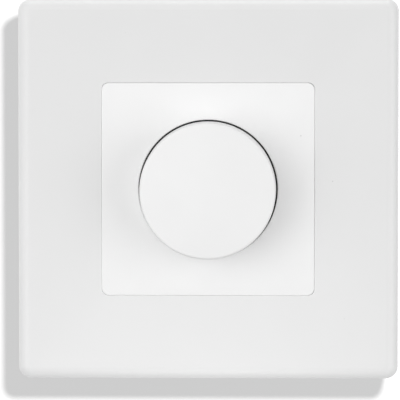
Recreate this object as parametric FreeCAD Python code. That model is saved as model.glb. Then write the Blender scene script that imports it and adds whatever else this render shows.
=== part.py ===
import FreeCAD, Part
import math
import os

from FreeCAD import Vector

# Rotary smart dimmer for a 60 mm wall box.
# +Z is up, +X is right seen from the front, the front faces -Y.
# The origin lies on the knob's axis in the plane of the wall.

# Shared by several pieces
beyond = 1.0              # how far a cutting tool passes the face it cuts through
overlap = 0.5             # how far a rib or boss reaches into the wall it grows from
running_gap = 0.05
sliding_gap = 0.1
thread_gap = 0.05
screw_slot_width = 0.8
screw_slot_share = 0.45   # depth of a screw's slot, as a share of its head
screw_round_share = 0.4   # rounding of a pan head, as a share of its head

# Support ring
box_screw_spacing = 60.0
ring_margin = 5.5         # box screw to the ring's edge
ring_width = box_screw_spacing + 2 * ring_margin
ring_corner_r = 7.0
ring_wall = 1.0
slot_width = 3.6
slot_length = 7.0
corner_hole_inset = 8.5
corner_hole_r = 1.7

# Cover frame
frame_reach = 4.5         # ring's edge to the frame's side
frame_width = ring_width + 2 * frame_reach
frame_depth = 9.1         # wall to the raised outer edge of the face
frame_dish = 0.4          # fall of the face from its outer edge to the opening
frame_corner_r = 2.6
frame_edge_r = 2.4
frame_wall = 2.0
frame_skirt_wall = 2.0
opening_width = 44.7
opening_corner_r = 1.4
opening_edge_r = 0.2
rim_wall = 1.6            # wall that runs back from the opening
rim_back = 3.6            # distance of that wall's end from the wall plane
ledge_front = 5.6         # distance of the ledge's front from the wall plane
ledge_wall = 1.4
ledge_reach = 1.9         # how far the ledge stands into the opening
rib_wall = 0.9
rib_depth = 1.6
rib_place = 12.0
ribs_on_side = 2

# Centre plate
plate_gap = 0.025         # press-on plate, all round
plate_sink = 0.1          # plate's face, below the opening's edge
plate_wall = 1.6
plate_edge_r = 0.1
plate_corner_ease = 0.1   # plate's corners, rounder than the opening's
plate_rim_wall = 1.4
plate_inside_r = 0.5
well_r = 14.6
well_depth = 1.8
well_wall = 1.4
well_edge_r = 0.25
clamp_wall = 1.6          # floor of the well, under the nut

# Knob
knob_gap = 0.36
knob_height = 9.7         # above the centre plate
knob_dip = 0.9            # below the centre plate's face
knob_draft_deg = 1.0
knob_edge_r = 0.5
knob_wall = 1.6
knob_face = 1.8
knob_travel = 0.5
knob_ribs = 6
knob_rib_wall = 0.8
rib_to_clip = 0.6         # end of the ribs to the clip
boss_r = 4.5
boss_slit = 0.8
bore_end_gap = 0.1        # bore of the boss, past the shaft's end
shaft_end_gap = 0.2       # shaft's end to the inside of the knob's face
clip_place = 0.3          # clip to the boss's end
clip_wall = 0.6
clip_width = 2.4
clip_gap = 2.4

# Encoder
bush_r = 5.0
bush_end = 10.0
bush_chamfer = 0.5
relief_depth = 0.4
relief_width = 0.8
washer_r = 7.0
washer_wall = 0.5
nut_flats = 14.0
nut_height = 2.0
nut_chamfer = 0.5
shaft_r = 3.0
shaft_flat = 1.5
shaft_chamfer = 0.4
boss_to_bush = 1.0
flange_wall = 1.0
strap_wall = 0.4
strap_inset = 1.0         # strap's arms, narrower than the encoder on each side
strap_corner_r = 0.3
encoder_width = 12.4
encoder_height = 12.0
encoder_depth = 5.3       # behind its flange
encoder_corner_r = 0.6
rotor_chamber_r = 5.3
rotor_r = 5.1
rotor_wall = 1.4
rotor_step = 1.3          # flange to rotor
rotor_gap = 0.2           # rotor to the chamber's floor
rotor_notches = 20
notch_r = 0.25
collar_r = 3.7
collar_wall = 0.5
tail_r = 2.2
tail_flat = 1.5
tail_reach = 0.4          # tail, past the chamber's floor
plunger_r = 1.5
plunger_head_r = 2.1
plunger_head = 0.5
plunger_head_gap = 0.3
plunger_stop_gap = 0.05   # left under the plunger's head at full travel
dome_r = 2.9
dome_height = 0.7
dome_wall = 0.12
dome_chamber_r = 3.3
dome_gap = 0.15
spring_r = 5.0
spring_width = 1.0
spring_wall = 0.25
pin_r = 0.35
pin_place = 5.0
pin_pitch = 2.5
pin_tail = 1.2

# Housing
housing_r = 25.5
flat_cut = 4.0            # depth of the flats on the left and the right
housing_flat = housing_r - flat_cut
housing_draft = 0.4
housing_wall = 1.6
housing_base = 1.8
housing_edge_r = 1.2
flange_share = 0.6        # flange, as a share of the way to the control board
post_inset = 4.3          # screw post to the flat
post_rim_inset = 2.35     # screw post to the round side
post_x = housing_flat - post_inset
post_z = math.sqrt((housing_r - post_rim_inset) ** 2 - post_x ** 2)
post_r = 2.2
pilot_depth = 8.7
boss_to_post = 2.2
front_boss_width = 2 * (post_x - boss_to_post)
front_boss_corner_r = 3.0
front_boss_wall = 1.5
front_boss_gap = 0.2
lip_wall = 1.2
lip_gap = 0.2
housing_screw_r = 1.25
housing_screw_hole_r = 1.45
housing_screw_head_r = 2.4
housing_screw_head = 1.5
housing_screw_length = 9.5
vent_count = 5
vent_width = 1.4
vent_length = 14.0
vent_pitch = 4.2
vent_z = 9.0
vent_round_share = 0.49   # rounding of a vent's ends, as a share of its width

# Claws, on lugs of the ring
claw_stand_off = 1.8      # claw's axis to the housing's flat
claw_axis_x = housing_flat + claw_stand_off
claw_axis_y = 5.15
claw_wall = 1.1
claw_half_width = 5.2
claw_length = 10.85       # from the claw's axis to the bend of its tip
claw_nose = 1.55          # from the claw's axis to its front end
claw_tip = 5.2
claw_tip_deg = 60.0
claw_window = 3.0         # half width of the window its foot was bent from
claw_foot = 5.7
claw_foot_gap = 0.1       # foot to the window's sides
claw_teeth = 4
claw_tooth_depth = 1.0
claw_tooth_share = 0.9    # width of a tooth's gap, as a share of the pitch
pivot_r = 0.6
lug_wall = 1.0
lug_r = 1.5
lug_gap = 0.8
claw_screw_reach = 2.6    # claw's axis to its screw
claw_screw_x = claw_axis_x + claw_screw_reach
claw_screw_r = 1.5
claw_screw_end = 11.6
claw_screw_head_r = 2.7
claw_screw_head = 2.0
claw_screw_gap = 0.2
foot_slot_in = 0.28       # room beside the screw, towards the claw's axis
foot_slot_out = 0.55      # room on its other side, where the foot swings

# Boards
board_gap = 0.3
board_notch = 0.3
board_flat = housing_flat - housing_wall - board_gap
board_r = housing_r - housing_wall - board_gap
control_board_wall = 1.2
boards_apart = 8.2
power_board_wall = 1.6
long_rib_width = 4.0
long_rib_depth = 1.6
short_rib_x = 10.0
short_rib_width = 2.0
short_rib_z = 20.0
short_rib_depth = 2.2

# Terminal block
poles = 4
pole_pitch = 6.2
block_side = 0.8          # outer wall beside the first and the last pole
block_width = poles * pole_pitch + 2 * block_side
block_proud = 1.0         # behind the housing's back
block_height = 10.5
block_inset = 4.0         # foot of the block to the housing's round side
block_bottom = block_inset - housing_r
block_top = block_bottom + block_height
block_gap = 0.1
block_corner_r = 0.8
block_edge_r = 0.5
block_step = 1.3          # power board to the part that fills the housing's recess
lip_side = 1.2            # lip inside the housing, past the block on each side
lip_width = block_width + 2 * lip_side
lip_rise = 0.8            # lip, above the block's top
lip_lift = 3.5            # lip's foot, above the block's foot
lip_top = block_top + lip_rise
lip_bottom = block_bottom + lip_lift
lip_corner_r = 0.5
pole_wall = 0.6
pocket_half = pole_pitch / 2 - pole_wall
pocket_inset = 4.0        # floor of the pocket to the block's back
roof_wall = 1.1           # over the pockets
foot_wall = 3.2           # under the pockets, with the screw wells
pocket_top = block_top - roof_wall
pocket_bottom = block_bottom + foot_wall
entry_r = 1.6
entry_inset = 3.4         # entries' axis to the block's top
entry_z = block_top - entry_inset
entry_chamfer = 0.4
screw_well_r = 2.1
cage_gap = 0.1
cage_wall = 0.7
cage_window = 3.2
cage_window_top = pocket_top - cage_gap - cage_wall
cage_window_bottom = cage_window_top - cage_window
cage_tail_half = 0.5
cage_tail_wall = 0.6
cage_tail_reach = 0.8     # tail, past the power board's front
cage_tail_gap = 0.2       # tail to its hole in the power board
terminal_screw_inset = 2.2          # screw's axis to the floor of the pocket
terminal_screw_r = 1.45
terminal_screw_head_r = 1.9
terminal_screw_head = 1.8
terminal_screw_sunk = 0.2
terminal_slot_width = 0.6

# Parts on the boards: place in x and z, size across, height off the board
choke_place = (-9.0, 9.5)
choke_core_r = 5.2
choke_hole_r = 2.6
choke_height = 6.0
winding_wall = 0.75
winding_gap_deg = 50.0
winding_slack = 0.02      # winding to core
core_round = 0.4
film_inset = 12.6         # its middle to the board's round side
film_place = (7.5, board_r - film_inset)
film_size = (13.0, 7.5, 6.5)
film_corner_r = 0.6
film_edge_r = 0.5
bulk_inset = 5.6          # its axis to the board's flat
bulk_place = (board_flat - bulk_inset, 1.5)
bulk_r = 3.2
bulk_clearance = 0.8      # its top to the control board
bulk_height = boards_apart - bulk_clearance
bulk_edge_r = 0.4
bulk_groove = (1.6, 1.1, 0.25)      # its start and end off the board, and its depth
fuse_inset = 5.1          # its axis to the board's flat
fuse_place = (fuse_inset - board_flat, -2.0)
fuse_r = 3.2
fuse_height = 6.4
fuse_edge_r = 0.3
connector_inset = 7.2     # its middle to the board's flat
connector_place = (connector_inset - board_flat, -10.6)
connector_size = (4.8, 10.2)
connector_corner_r = 0.2
plug_height = 2.5
plug_lip = 0.2            # plug, wider than its socket on each side
chip_place = (4.0, 11.0)
chip_size = (7.0, 7.0, 0.9)
chip_corner_r = 0.2
radio_place = (5.0, -12.5)
radio_size = (16.0, 12.0, 0.8)
radio_corner_r = 0.3
shield_place = (3.0, -12.5)
shield_size = (11.0, 10.0, 1.8)
shield_wall = 0.25
shield_corner_r = 0.5
pin_hole_gap = 0.15
sink_size = (28.0, 20.0, 1.6)
sink_z = 4.0
sink_corner_r = 1.0
sheet_size = (24.0, 14.0, 0.3)
sheet_z = 1.5
sheet_corner_r = 0.8
transistor_size = (10.0, 9.0, 4.4)
transistor_gap = 0.9      # its front to the power board
transistor_x = 6.0
transistor_z = 0.5
transistor_corner_r = 0.3
lead_pitch = 2.5
lead_width = 0.8
lead_wall = 0.5
lead_reach = 2.0
lead_place = 2.2

# Levels along the knob's axis, from the front to the back
opening_y = -(frame_depth - frame_dish)
plate_front_y = opening_y + plate_sink
plate_back_y = plate_front_y + plate_wall
well_floor_y = plate_front_y + well_depth
well_back_y = well_floor_y + clamp_wall
knob_front_y = plate_front_y - knob_height
knob_inside_y = knob_front_y + knob_face
knob_rim_y = plate_front_y + knob_dip
washer_front_y = well_floor_y - washer_wall
nut_front_y = washer_front_y - nut_height
boss_end_y = -bush_end - boss_to_bush
clip_front_y = boss_end_y - clip_place - clip_width
knob_rib_depth = clip_front_y - rib_to_clip - knob_inside_y
shaft_front_y = knob_inside_y + shaft_end_gap
housing_front_y = well_back_y
strap_front_y = housing_front_y + front_boss_wall
flange_front_y = strap_front_y + strap_wall
encoder_front_y = flange_front_y + flange_wall
control_board_y = encoder_front_y + encoder_depth
flange_depth = flange_share * control_board_y
collar_front_y = encoder_front_y + sliding_gap
rotor_front_y = encoder_front_y + rotor_step
chamber_back_y = rotor_front_y + rotor_wall + rotor_gap
tail_end_y = chamber_back_y + tail_reach
plunger_step_y = tail_end_y + plunger_head + knob_travel + plunger_stop_gap
dome_front_y = control_board_y - dome_height
power_board_front = control_board_y + control_board_wall + boards_apart
power_board_back_y = power_board_front + power_board_wall
transistor_front_y = power_board_back_y + transistor_gap
transistor_back_y = transistor_front_y + transistor_size[2]
sink_front_y = transistor_back_y + sheet_size[2]
base_y = sink_front_y + sink_size[2]
housing_depth = base_y + housing_base
block_step_y = power_board_back_y + block_step
block_back = housing_depth + block_proud
pocket_back = block_back - pocket_inset
terminal_screw_y = pocket_back - terminal_screw_inset
cage_front = block_step_y + cage_gap
cage_tail_front = power_board_front - cage_tail_reach


def runs_along_y(edge):
    if len(edge.Vertexes) < 2:
        return False
    step = edge.Vertexes[1].Point - edge.Vertexes[0].Point
    return math.hypot(step.x, step.z) < 1e-6


def edges_in_plane(shape, y, reach=None):
    """Edges that lie in the plane y, and inside a square of half width reach if it is given."""
    found = []
    for edge in shape.Edges:
        box = edge.BoundBox
        flat = abs(box.YMin - y) < 1e-4 and abs(box.YMax - y) < 1e-4
        near = reach is None or max(abs(box.XMin), box.XMax, abs(box.ZMin), box.ZMax) < reach
        if flat and near:
            found.append(edge)
    return found


def slab(width, height, corner_r, front, back, x=0.0, z=0.0):
    corner = Vector(x - width / 2, front, z - height / 2)
    body = Part.makeBox(width, back - front, height, corner)
    if corner_r > 0:
        body = body.makeFillet(corner_r, [e for e in body.Edges if runs_along_y(e)])
    return body


def block(low, high):
    size = Vector(*high) - Vector(*low)
    return Part.makeBox(size.x, size.y, size.z, Vector(*low))


def rod(radius, front, back, x=0.0, z=0.0):
    return Part.makeCylinder(radius, back - front, Vector(x, front, z), Vector(0, 1, 0))


def tube(outer_r, inner_r, front, back, x=0.0, z=0.0):
    return rod(outer_r, front, back, x, z).cut(rod(inner_r, front - beyond, back + beyond, x, z))


def turned(points):
    """Solid of revolution about the knob's axis from (radius, y) points."""
    wire = Part.makePolygon([Vector(r, y, 0) for r, y in points + points[:1]])
    return Part.Face(wire).revolve(Vector(0, 0, 0), Vector(0, 1, 0), 360)


def flatted(body, flat):
    box = body.BoundBox
    low = (-box.XLength, box.YMin - beyond, flat)
    high = (box.XLength, box.YMax + beyond, box.ZLength)
    return body.cut(block(low, high))


def square_outline(half, corner_r, y):
    edges = []
    inset = half - corner_r
    for quarter in range(4):
        start = quarter * math.pi / 2
        middle = start + math.pi / 4
        side_x = math.copysign(1, math.cos(middle))
        side_z = math.copysign(1, math.sin(middle))
        points = []
        for angle in (start, middle, start + math.pi / 2):
            x = side_x * inset + corner_r * math.cos(angle)
            z = side_z * inset + corner_r * math.sin(angle)
            points.append(Vector(x, y, z))
        edges.append(Part.Arc(*points).toShape())
    corners = [edge.Vertexes for edge in edges]
    for quarter in range(4):
        start = corners[quarter][1].Point
        end = corners[(quarter + 1) % 4][0].Point
        edges.append(Part.LineSegment(start, end).toShape())
    return Part.Wire(Part.sortEdges(edges)[0])


def barrel_outline(radius, flat, y):
    """Circle with a flat on its left and right side."""
    rise = math.sqrt(radius ** 2 - flat ** 2)
    top = Part.Arc(Vector(flat, y, rise), Vector(0, y, radius), Vector(-flat, y, rise))
    bottom = Part.Arc(Vector(-flat, y, -rise), Vector(0, y, -radius), Vector(flat, y, -rise))
    left = Part.LineSegment(Vector(-flat, y, rise), Vector(-flat, y, -rise))
    right = Part.LineSegment(Vector(flat, y, -rise), Vector(flat, y, rise))
    return Part.Wire([piece.toShape() for piece in (top, left, bottom, right)])


def barrel(radius, flat, front, back):
    return Part.Face(barrel_outline(radius, flat, front)).extrude(Vector(0, back - front, 0))


def strip_outline(path, wall):
    """Closed outline of a bent strip whose middle line is path, with mitred bends."""
    sides = ([], [])
    for i, point in enumerate(path):
        before = point - path[i - 1] if i > 0 else path[1] - point
        after = path[i + 1] - point if i < len(path) - 1 else before
        before.normalize()
        after.normalize()
        across = Vector(-before.y - after.y, before.x + after.x, 0)
        across.normalize()
        stretch = 1 / (across.x * -after.y + across.y * after.x)
        for side, sign in zip(sides, (1, -1)):
            side.append(point + across * (sign * wall / 2 * stretch))
    outline = sides[0] + sides[1][::-1]
    return Part.makePolygon(outline + outline[:1])


def strip(path, wall, low, high):
    """Bent strip: path lies in x and y, and the strip runs from low to high along z."""
    face = Part.Face(strip_outline([Vector(x, y, low) for x, y in path], wall))
    return face.extrude(Vector(0, 0, high - low))


def at_corners(x, z):
    return [(x, z), (-x, z), (-x, -z), (x, -z)]


def cut_all(body, tools):
    for tool in tools:
        body = body.cut(tool)
    return body


def fuse_all(body, tools):
    for tool in tools:
        body = body.fuse(tool)
    return body.removeSplitter()


def turned_about_y(shape, degrees):
    copy = shape.copy()
    copy.rotate(Vector(0, 0, 0), Vector(0, 1, 0), degrees)
    return copy


def mirrored_left(shape):
    return shape.mirror(Vector(0, 0, 0), Vector(1, 0, 0))


def pan_head(radius, height, front, x, z):
    """Pan head with a slot, its front towards -Y."""
    head = rod(radius, front, front + height, x, z)
    head = head.makeFillet(height * screw_round_share, edges_in_plane(head, front))
    half = screw_slot_width / 2
    low = (x - radius, front - beyond, z - half)
    high = (x + radius, front + height * screw_slot_share, z + half)
    return head.cut(block(low, high))


def make_frame():
    body = slab(frame_width, frame_width, frame_corner_r, -frame_depth, 0)
    body = body.makeFillet(frame_edge_r, edges_in_plane(body, -frame_depth))
    outer = square_outline(frame_width / 2 - frame_edge_r, frame_corner_r, -frame_depth)
    inner = square_outline(opening_width / 2, opening_corner_r, opening_y)
    body = body.cut(Part.makeLoft([outer, inner], True, True))
    inside = frame_width - 2 * frame_skirt_wall
    face_back_y = opening_y + frame_wall
    body = body.cut(slab(inside, inside, frame_corner_r / 2, face_back_y, beyond))
    rim_width = opening_width + 2 * rim_wall
    rim_corner_r = opening_corner_r + rim_wall
    body = body.fuse(slab(rim_width, rim_width, rim_corner_r, face_back_y - overlap, -rim_back))
    body = fuse_all(body, frame_ribs(rim_width / 2, inside / 2, face_back_y))
    front = -frame_depth - beyond
    body = body.cut(slab(opening_width, opening_width, opening_corner_r, front, -ledge_front))
    ledge_back_y = -ledge_front + ledge_wall
    ledge_width = opening_width - 2 * ledge_reach
    body = body.cut(slab(opening_width, opening_width, opening_corner_r, ledge_back_y, beyond))
    body = body.cut(slab(ledge_width, ledge_width, opening_corner_r, front, beyond))
    edges = edges_in_plane(body, opening_y, opening_width / 2 + 0.01)
    return body.makeFillet(opening_edge_r, edges)


def frame_ribs(rim_half, skirt_half, face_back_y):
    ribs = []
    step = 2 * rib_place / (ribs_on_side - 1)
    for side in range(4):
        for i in range(ribs_on_side):
            x = -rib_place + i * step
            low = (x - rib_wall / 2, face_back_y - overlap, rim_half - overlap)
            high = (x + rib_wall / 2, face_back_y + rib_depth, skirt_half + overlap)
            ribs.append(turned_about_y(block(low, high), 90 * side))
    return ribs


def make_centre_plate():
    width = opening_width - 2 * plate_gap
    corner_r = opening_corner_r + plate_corner_ease
    body = slab(width, width, corner_r, plate_front_y, -ledge_front)
    body = body.makeFillet(plate_edge_r, edges_in_plane(body, plate_front_y))
    inside = width - 2 * plate_rim_wall
    body = body.cut(slab(inside, inside, plate_inside_r, plate_back_y, 0))
    body = body.fuse(rod(well_r + well_wall, plate_back_y - overlap, well_back_y))
    body = body.cut(rod(well_r, plate_front_y - beyond, well_floor_y))
    body = body.cut(rod(bush_r + sliding_gap, well_floor_y - beyond, well_back_y + beyond))
    mouth = edges_in_plane(body, plate_front_y, well_r + 0.01)
    return body.makeFillet(well_edge_r, mouth).removeSplitter()


def knob_wall_radius(y):
    lean = math.tan(math.radians(knob_draft_deg))
    return well_r - knob_gap - lean * (knob_rim_y - y)


def make_knob():
    front_r = knob_wall_radius(knob_front_y)
    rim_r = knob_wall_radius(knob_rim_y)
    inside_r = knob_wall_radius(knob_inside_y) - knob_wall
    body = turned([
        (0, knob_front_y),
        (front_r, knob_front_y),
        (rim_r, knob_rim_y),
        (rim_r - knob_wall, knob_rim_y),
        (inside_r, knob_inside_y),
        (0, knob_inside_y),
    ])
    body = body.makeFillet(knob_edge_r, edges_in_plane(body, knob_front_y))
    body = fuse_all(body, knob_rib_set(inside_r))
    body = body.fuse(rod(boss_r, knob_inside_y - overlap, boss_end_y))
    bore = rod(shaft_r + running_gap, shaft_front_y - bore_end_gap, boss_end_y + beyond)
    body = body.cut(flatted(bore, shaft_flat + running_gap))
    slit_low = (-boss_slit / 2, knob_inside_y + knob_rib_depth, -boss_r - beyond)
    slit_high = (boss_slit / 2, boss_end_y + beyond, 0)
    return body.cut(block(slit_low, slit_high)).removeSplitter()


def knob_rib_set(inside_r):
    low = (boss_r - overlap, knob_inside_y - overlap, -knob_rib_wall / 2)
    high = (inside_r + overlap, knob_inside_y + knob_rib_depth, knob_rib_wall / 2)
    rib = block(low, high)
    return [turned_about_y(rib, 360 / knob_ribs * i) for i in range(knob_ribs)]


def make_knob_clip():
    inner_r = boss_r + running_gap
    ring = tube(inner_r + clip_wall, inner_r, clip_front_y, clip_front_y + clip_width)
    gap_low = (-clip_gap / 2, clip_front_y - beyond, -2 * boss_r)
    gap = block(gap_low, (clip_gap / 2, boss_end_y + beyond, 0))
    return ring.cut(gap)


def make_shaft_nut():
    corner_r = nut_flats / math.sqrt(3)
    corners = []
    for i in range(7):
        angle = math.radians(60 * i)
        corners.append(Vector(corner_r * math.cos(angle), nut_front_y, corner_r * math.sin(angle)))
    hexagon = Part.Face(Part.makePolygon(corners)).extrude(Vector(0, nut_height, 0))
    blank = turned([
        (0, nut_front_y),
        (corner_r - nut_chamfer, nut_front_y),
        (corner_r + nut_chamfer, nut_front_y + nut_chamfer),
        (corner_r + nut_chamfer, washer_front_y),
        (0, washer_front_y),
    ])
    thread = rod(bush_r + thread_gap, nut_front_y - beyond, washer_front_y + beyond)
    return hexagon.common(blank).cut(thread)


def make_nut_washer():
    return tube(washer_r, bush_r + sliding_gap, washer_front_y, well_floor_y)


def make_encoder_bush():
    body = turned([
        (0, -bush_end),
        (bush_r - bush_chamfer, -bush_end),
        (bush_r, -bush_end + bush_chamfer),
        (bush_r, strap_front_y - relief_width),
        (bush_r - relief_depth, strap_front_y - relief_width + relief_depth),
        (bush_r - relief_depth, flange_front_y + flange_wall / 2),
        (0, flange_front_y + flange_wall / 2),
    ])
    flange = slab(encoder_width, encoder_height, encoder_corner_r, flange_front_y, encoder_front_y)
    body = body.fuse(flange).removeSplitter()
    return body.cut(rod(shaft_r + running_gap, -bush_end - beyond, encoder_front_y + beyond))


def make_encoder_strap():
    side_z = encoder_height / 2 + running_gap
    height = 2 * (side_z + strap_wall)
    front = slab(encoder_width, height, strap_corner_r, strap_front_y, flange_front_y)
    half = encoder_width / 2 - strap_inset
    sides = []
    for z in (side_z, -side_z - strap_wall):
        sides.append(block((-half, strap_front_y, z), (half, control_board_y, z + strap_wall)))
    body = fuse_all(front, sides)
    return body.cut(rod(bush_r + running_gap, strap_front_y - beyond, flange_front_y + beyond))


def make_encoder_body():
    body = slab(encoder_width, encoder_height, encoder_corner_r, encoder_front_y, control_board_y)
    return cut_all(body, [
        rod(rotor_chamber_r, encoder_front_y - beyond, chamber_back_y),
        rod(plunger_head_r + plunger_head_gap, chamber_back_y - beyond, plunger_step_y),
        rod(plunger_r + sliding_gap, plunger_step_y - beyond, control_board_y),
        rod(dome_chamber_r, dome_front_y - running_gap, control_board_y + beyond),
    ])


def make_encoder_shaft():
    front = turned([
        (0, shaft_front_y),
        (shaft_r - shaft_chamfer, shaft_front_y),
        (shaft_r, shaft_front_y + shaft_chamfer),
        (shaft_r, -bush_end - boss_to_bush / 2),
        (0, -bush_end - boss_to_bush / 2),
    ])
    round_part = rod(shaft_r, -bush_end - boss_to_bush / 2, collar_front_y)
    collar = rod(collar_r, collar_front_y, collar_front_y + collar_wall)
    tail = flatted(rod(tail_r, collar_front_y + collar_wall, tail_end_y), tail_flat)
    return fuse_all(flatted(front, shaft_flat), [round_part, collar, tail])


def make_encoder_rotor():
    body = rod(rotor_r, rotor_front_y, rotor_front_y + rotor_wall)
    bore = rod(tail_r + running_gap, rotor_front_y - beyond, chamber_back_y + beyond)
    body = body.cut(flatted(bore, tail_flat + running_gap))
    start = Vector(spring_r - spring_width, rotor_front_y, 0)
    notch = Part.makeCylinder(notch_r, 2 * spring_width, start, Vector(1, 0, 0))
    step = 360 / rotor_notches
    return cut_all(body, [turned_about_y(notch, step * i) for i in range(rotor_notches)])


def make_detent_spring():
    body = tube(spring_r, spring_r - spring_width, encoder_front_y, encoder_front_y + spring_wall)
    bumps = []
    for z in (spring_r - spring_width / 2, -spring_r + spring_width / 2):
        bumps.append(Part.makeSphere(spring_width / 2, Vector(0, encoder_front_y + spring_wall, z)))
    body = fuse_all(body, bumps)
    return body.cut(rod(spring_r + beyond, encoder_front_y - beyond, encoder_front_y))


def pin_places():
    """Three pins of the encoder below its shaft and two of its switch above."""
    below = [(pin_pitch * i, -pin_place) for i in (-1, 0, 1)]
    above = [(pin_pitch * i, pin_place) for i in (-1, 1)]
    return below + above


def make_encoder_pins():
    back = control_board_y + control_board_wall + pin_tail
    return Part.makeCompound([rod(pin_r, control_board_y, back, x, z) for x, z in pin_places()])


def make_push_plunger():
    head_back_y = tail_end_y + plunger_head
    head = rod(plunger_head_r, tail_end_y, head_back_y)
    stem = rod(plunger_r, head_back_y, dome_front_y - dome_gap)
    return fuse_all(head, [stem])


def make_push_dome():
    ball_r = (dome_r ** 2 + dome_height ** 2) / (2 * dome_height)
    centre = Vector(0, dome_front_y + ball_r, 0)
    shell = Part.makeSphere(ball_r, centre).cut(Part.makeSphere(ball_r - dome_wall, centre))
    return shell.common(rod(dome_r, dome_front_y - beyond, control_board_y))


def make_support_ring():
    body = slab(ring_width, ring_width, ring_corner_r, -ring_wall, 0)
    width = front_boss_width + 2 * front_boss_gap
    front = -ring_wall - beyond
    tools = [slab(width, width, front_boss_corner_r + front_boss_gap, front, beyond)]
    for x, z in at_corners(post_x, post_z):
        tools.append(rod(housing_screw_hole_r, front, beyond, x, z))
    corner = ring_width / 2 - corner_hole_inset
    for x, z in at_corners(corner, corner):
        tools.append(rod(corner_hole_r, front, beyond, x, z))
    for side in (-1, 1):
        tools.append(upright_slot(side * box_screw_spacing / 2, front))
        tools.append(rod(claw_screw_r + claw_screw_gap, front, beyond, side * claw_screw_x))
    body = cut_all(body, tools)
    lugs = [lug(z) for z in (claw_half_width + lug_gap, -claw_half_width - lug_gap - lug_wall)]
    lugs += [mirrored_left(one) for one in lugs]
    return fuse_all(body, lugs)


def upright_slot(z, front):
    end_r = slot_width / 2
    half = slot_length / 2 - end_r
    straight = block((-end_r, front, z - half), (end_r, beyond, z + half))
    ends = [rod(end_r, front, beyond, 0, z + side * half) for side in (-1, 1)]
    return fuse_all(straight, ends)


def lug(z):
    low = (claw_axis_x - lug_r, -ring_wall / 2, z)
    high = (claw_axis_x + lug_r, claw_axis_y, z + lug_wall)
    end = Part.makeCylinder(lug_r, lug_wall, Vector(claw_axis_x, claw_axis_y, z))
    hole_foot = Vector(claw_axis_x, claw_axis_y, z - beyond)
    hole = Part.makeCylinder(pivot_r + running_gap, lug_wall + 2 * beyond, hole_foot)
    return block(low, high).fuse(end).removeSplitter().cut(hole)


def make_claw():
    lean = math.radians(claw_tip_deg)
    bend_y = claw_axis_y + claw_length
    tip = (claw_axis_x + claw_tip * math.sin(lean), bend_y + claw_tip * math.cos(lean))
    path = [(claw_axis_x, claw_axis_y - claw_nose), (claw_axis_x, bend_y), tip]
    body = strip(path, claw_wall, -claw_half_width, claw_half_width)
    foot_front = claw_axis_y - claw_wall / 2
    foot_back = claw_axis_y + claw_wall / 2
    window_back = foot_back + claw_foot + claw_wall
    window_low = (claw_axis_x - claw_wall, foot_back, -claw_window)
    window_high = (claw_axis_x + claw_wall, window_back, claw_window)
    body = body.cut(block(window_low, window_high))
    foot_half = claw_window - claw_foot_gap
    foot = block((claw_axis_x, foot_front, -foot_half), (claw_axis_x + claw_foot, foot_back, foot_half))
    length = 2 * (claw_half_width + lug_gap + lug_wall)
    pivot = Part.makeCylinder(pivot_r, length, Vector(claw_axis_x, claw_axis_y, -length / 2))
    inner = Part.makeCylinder(2 * pivot_r, 2 * claw_window, Vector(claw_axis_x, claw_axis_y, -claw_window))
    body = fuse_all(body, [foot, pivot.cut(inner)])
    return body.cut(foot_slot(foot_front, foot_back)).cut(tooth_gaps(tip, lean))


def foot_slot(front, back):
    half = claw_screw_r + claw_screw_gap
    near_x = claw_screw_x - claw_screw_r - foot_slot_in + half
    far_x = claw_screw_x + claw_screw_r + foot_slot_out - half
    straight = block((near_x, front - beyond, -half), (far_x, back + beyond, half))
    return fuse_all(straight, [rod(half, front - beyond, back + beyond, x) for x in (near_x, far_x)])


def tooth_gaps(tip, lean):
    along = Vector(math.sin(lean), math.cos(lean), 0)
    across = Vector(-math.cos(lean), math.sin(lean), 0) * claw_wall
    end = Vector(tip[0], tip[1], 0) - across
    pitch = 2 * claw_half_width / claw_teeth
    half = Vector(0, 0, pitch * claw_tooth_share / 2)
    past_tip = along * (0.1 * claw_tooth_depth)
    gaps = []
    for i in range(claw_teeth + 1):
        centre = end + Vector(0, 0, -claw_half_width + pitch * i)
        corners = [
            centre + past_tip + half,
            centre + past_tip - half,
            centre - along * claw_tooth_depth,
        ]
        gaps.append(Part.Face(Part.makePolygon(corners + corners[:1])).extrude(across * 2))
    return Part.makeCompound(gaps)


def make_claw_screws():
    screws = []
    for side in (-1, 1):
        x = side * claw_screw_x
        head = pan_head(claw_screw_head_r, claw_screw_head, -ring_wall - claw_screw_head, x, 0)
        screws.append(fuse_all(head, [rod(claw_screw_r, -ring_wall, claw_screw_end, x)]))
    return Part.makeCompound(screws)


def make_housing_front():
    body = barrel(housing_r, housing_flat, 0, flange_depth)
    boss = slab(front_boss_width, front_boss_width, front_boss_corner_r, housing_front_y, overlap)
    lip_r = housing_r - housing_wall - lip_gap
    lip_flat = housing_flat - housing_wall - lip_gap
    lip = barrel(lip_r, lip_flat, flange_depth - overlap, control_board_y)
    body = fuse_all(body, [boss, lip])
    inside = front_boss_width - 2 * front_boss_wall
    lip_back = control_board_y + beyond
    tools = [
        slab(inside, inside, front_boss_corner_r / 2, strap_front_y, lip_back),
        barrel(lip_r - lip_wall, lip_flat - lip_wall, flange_depth, lip_back),
        rod(bush_r + sliding_gap, housing_front_y - beyond, strap_front_y + beyond),
    ]
    for x, z in at_corners(post_x, post_z):
        tools.append(rod(housing_screw_hole_r, -beyond, flange_depth + beyond, x, z))
        tools.append(rod(post_r + board_notch, flange_depth, lip_back, x, z))
    return cut_all(body, tools)


def long_ribs(gap):
    """Ribs that carry the control board, or the notches for them if gap is over 0."""
    half = long_rib_width / 2 + gap
    inset = long_rib_depth + gap
    wall_r = housing_r - housing_wall
    wall_x = housing_flat - housing_wall
    front = control_board_y + control_board_wall
    back = base_y + overlap
    top = block((-half, front, wall_r - inset), (half, back, wall_r + overlap))
    right = block((wall_x - inset, front, -half), (wall_x + overlap, back, half))
    return [top, right, mirrored_left(right)]


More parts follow.
